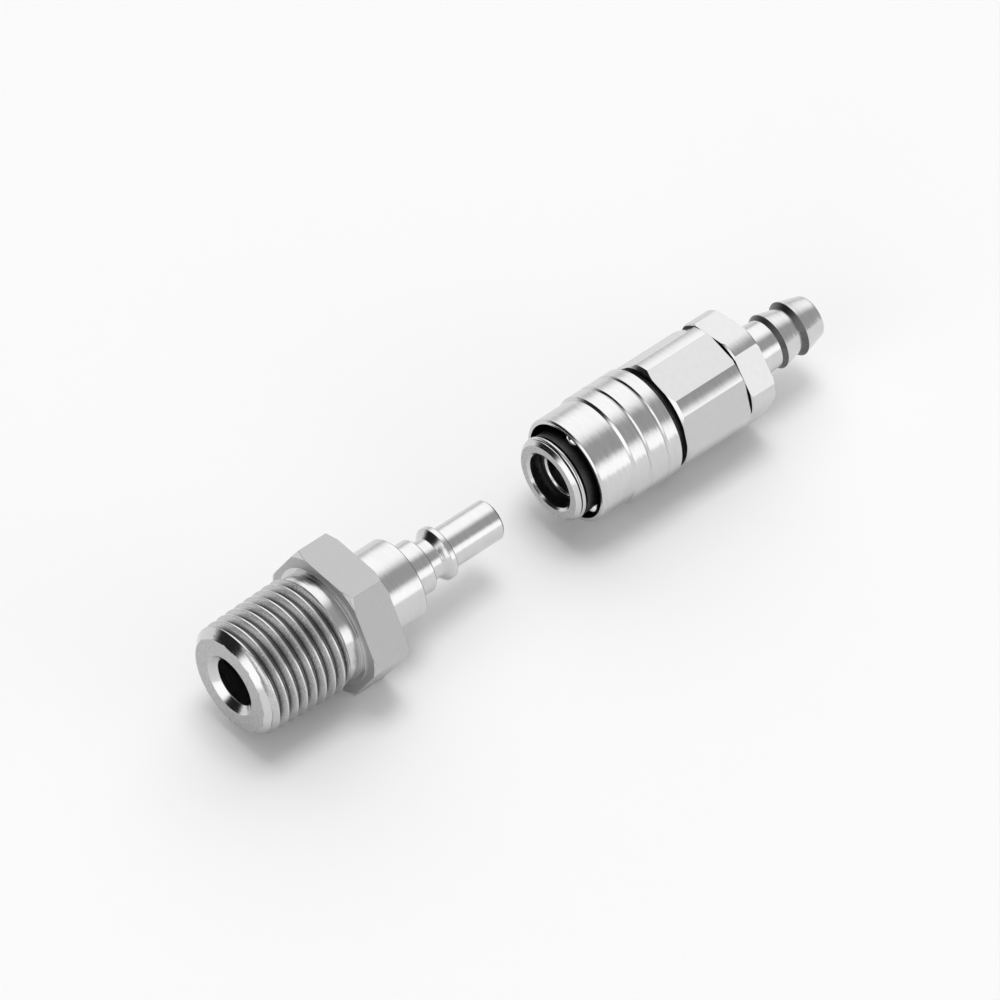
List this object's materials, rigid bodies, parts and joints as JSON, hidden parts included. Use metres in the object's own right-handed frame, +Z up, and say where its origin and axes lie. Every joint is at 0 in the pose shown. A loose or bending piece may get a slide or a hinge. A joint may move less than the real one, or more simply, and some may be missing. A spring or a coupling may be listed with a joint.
{
  "type": "pneumatic quick coupling",
  "caption": "Ball-lock air quick coupling, uncoupled: a taper-threaded hexagon plug in line with a sleeved socket that ends in a barbed hose tail.",
  "frame": {"origin": "root of the hose tail: the centre of the rear face of the hose adapter's hexagon", "axes": "+X along the common axis, from the plug's threaded end towards the hose end; +Z up, square to one flat of the plug's hexagon"},
  "size_m": [0.0596, 0.013, 0.0112],
  "materials": {
    "plug_metal": "turned, satin nickel",
    "body_metal": "turned, satin nickel",
    "ring_metal": "bright spring wire",
    "sleeve_metal": "finely turned, satin nickel",
    "spring_wire": "bright spring wire",
    "ball_steel": "polished",
    "collar_metal": "turned, satin nickel",
    "seal_rubber": "matt black nitrile",
    "valve_brass": "turned",
    "adapter_metal": "turned, satin nickel"
  },
  "bodies": {
    "socket": {"socket_body": "body_metal", "stop_ring": "ring_metal", "sleeve_spring": "spring_wire", "collar_spring": "spring_wire", "packing_washer": "collar_metal", "plug_packing": "seal_rubber", "valve_seat": "valve_brass", "valve_spring": "spring_wire", "adapter_gasket": "seal_rubber", "hose_adapter": "adapter_metal"},
    "collar_body": {"collar": "collar_metal"},
    "plug_body": {"plug": "plug_metal"},
    "sleeve_body": {"sleeve": "sleeve_metal"},
    "valve_body": {"valve": "valve_brass", "valve_seal": "seal_rubber"},
    "ball_1_body": {"ball_1": "ball_steel"},
    "ball_2_body": {"ball_2": "ball_steel"},
    "ball_3_body": {"ball_3": "ball_steel"}
  },
  "joints": [
    {"name": "push_in", "type": "slide", "parent": "socket", "child": "collar_body", "axis": [1, 0, 0], "range_m": [0, 0.00285], "stiffness_N_per_m": 600, "springref_m": -0.002, "deforming": ["collar_spring"]},
    {"name": "plug_approach", "type": "slide", "parent": "collar_body", "child": "plug_body", "axis": [1, 0, 0], "range_m": [0, 0.01238]},
    {"name": "sleeve_slide", "type": "slide", "parent": "socket", "child": "sleeve_body", "axis": [-1, 0, 0], "range_m": [0, 0.0024], "deforming": ["sleeve_spring"]},
    {"name": "valve_slide", "type": "slide", "parent": "socket", "child": "valve_body", "axis": [1, 0, 0], "range_m": [0, 0.001], "deforming": ["valve_spring"]},
    {"name": "ball_1_drop", "type": "slide", "parent": "socket", "child": "ball_1_body", "axis": [0, 0.0837, -0.9965], "range_m": [0, 0.000549]},
    {"name": "ball_2_drop", "type": "slide", "parent": "socket", "child": "ball_2_body", "axis": [0, 0.8211, 0.5707], "range_m": [0, 0.000549]},
    {"name": "ball_3_drop", "type": "slide", "parent": "socket", "child": "ball_3_body", "axis": [0, -0.9048, 0.4258], "range_m": [0, 0.000549]}
  ],
  "couplings": [
    {"joint": "sleeve_slide", "follows": "push_in", "ratio": 0.8421},
    {"joint": "valve_slide", "follows": "push_in", "ratio": 0.35088},
    {"joint": "ball_1_drop", "follows": "push_in", "ratio": 0.19234},
    {"joint": "ball_2_drop", "follows": "push_in", "ratio": 0.19234},
    {"joint": "ball_3_drop", "follows": "push_in", "ratio": 0.19234}
  ]
}
